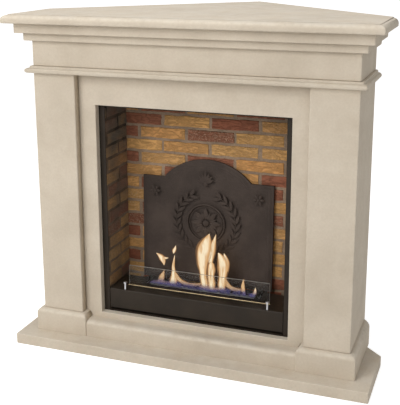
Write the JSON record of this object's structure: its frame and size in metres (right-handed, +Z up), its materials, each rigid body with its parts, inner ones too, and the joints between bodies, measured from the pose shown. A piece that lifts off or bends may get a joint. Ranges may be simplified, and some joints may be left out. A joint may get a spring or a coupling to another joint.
{
  "type": "corner fireplace",
  "caption": "Corner fireplace: a cast-stone surround with hearth, pilasters and mantel shelf round a brick-lined firebox with a lift-out spirit burner, sliding shutter and low glass screen.",
  "frame": {"origin": "on the floor at the middle of the plan box, under the bottom of the hearth slab", "axes": "+Z up, +X along the front to the viewer's right, +Y back into the room corner"},
  "size_m": [1.2, 0.872, 1.117],
  "materials": {
    "stone": "matt cast limestone",
    "timber": "planed softwood",
    "zinc_steel": "zinc plated",
    "black_steel": "matt black heat-proof paint",
    "brick": "moulded brick pattern, matt",
    "cast_iron": "graphite grey",
    "stainless": "brushed",
    "fibre": "white ceramic fibre",
    "glass": "clear toughened"
  },
  "bodies": {
    "body": {"hearth_slab": "stone", "plinth_block_left": "stone", "plinth_block_right": "stone", "plinth_rail": "stone", "pilaster_left": "stone", "pilaster_right": "stone", "frame_panel": "stone", "astragal_moulding": "stone", "frieze_box": "stone", "cornice_lower_tier": "stone", "cornice_upper_tier": "stone", "mantel_shelf": "stone", "shelf_batten_left": "timber", "shelf_batten_right": "timber", "corner_angle_low_left": "zinc_steel", "corner_angle_low_right": "zinc_steel", "corner_angle_high_left": "zinc_steel", "corner_angle_high_right": "zinc_steel", "shell_lug_left": "zinc_steel", "shell_lug_right": "zinc_steel", "firebox_foot_1": "zinc_steel", "firebox_foot_2": "zinc_steel", "firebox_foot_3": "zinc_steel", "firebox_foot_4": "zinc_steel", "firebox_shell": "black_steel", "fireback_ledge_left": "black_steel", "fireback_ledge_right": "black_steel", "brick_panel_back": "brick", "brick_panel_left": "brick", "brick_panel_right": "brick", "fireback": "cast_iron"},
    "burner": {"burner_housing": "black_steel", "lift_pin_left": "stainless", "lift_pin_right": "stainless", "glass_channel": "black_steel"},
    "glass": {"glass_screen": "glass"},
    "tank": {"fuel_tank": "stainless", "tank_lid": "black_steel", "fibre_wadding": "fibre"},
    "shutter": {"shutter_plate": "stainless", "shutter_knob_left": "black_steel", "shutter_knob_right": "black_steel"}
  },
  "joints": [
    {"name": "burner_lift", "type": "slide", "parent": "body", "child": "burner", "axis": [0, 0, 1], "range_m": [0, 0.09]},
    {"name": "glass_lift", "type": "slide", "parent": "burner", "child": "glass", "axis": [0, 0, 1], "range_m": [0, 0.08]},
    {"name": "tank_lift", "type": "slide", "parent": "burner", "child": "tank", "axis": [0, 0, 1], "range_m": [0, 0.08]},
    {"name": "shutter_slide", "type": "slide", "parent": "tank", "child": "shutter", "axis": [0, 1, 0], "range_m": [-0.0297, 0]}
  ]
}
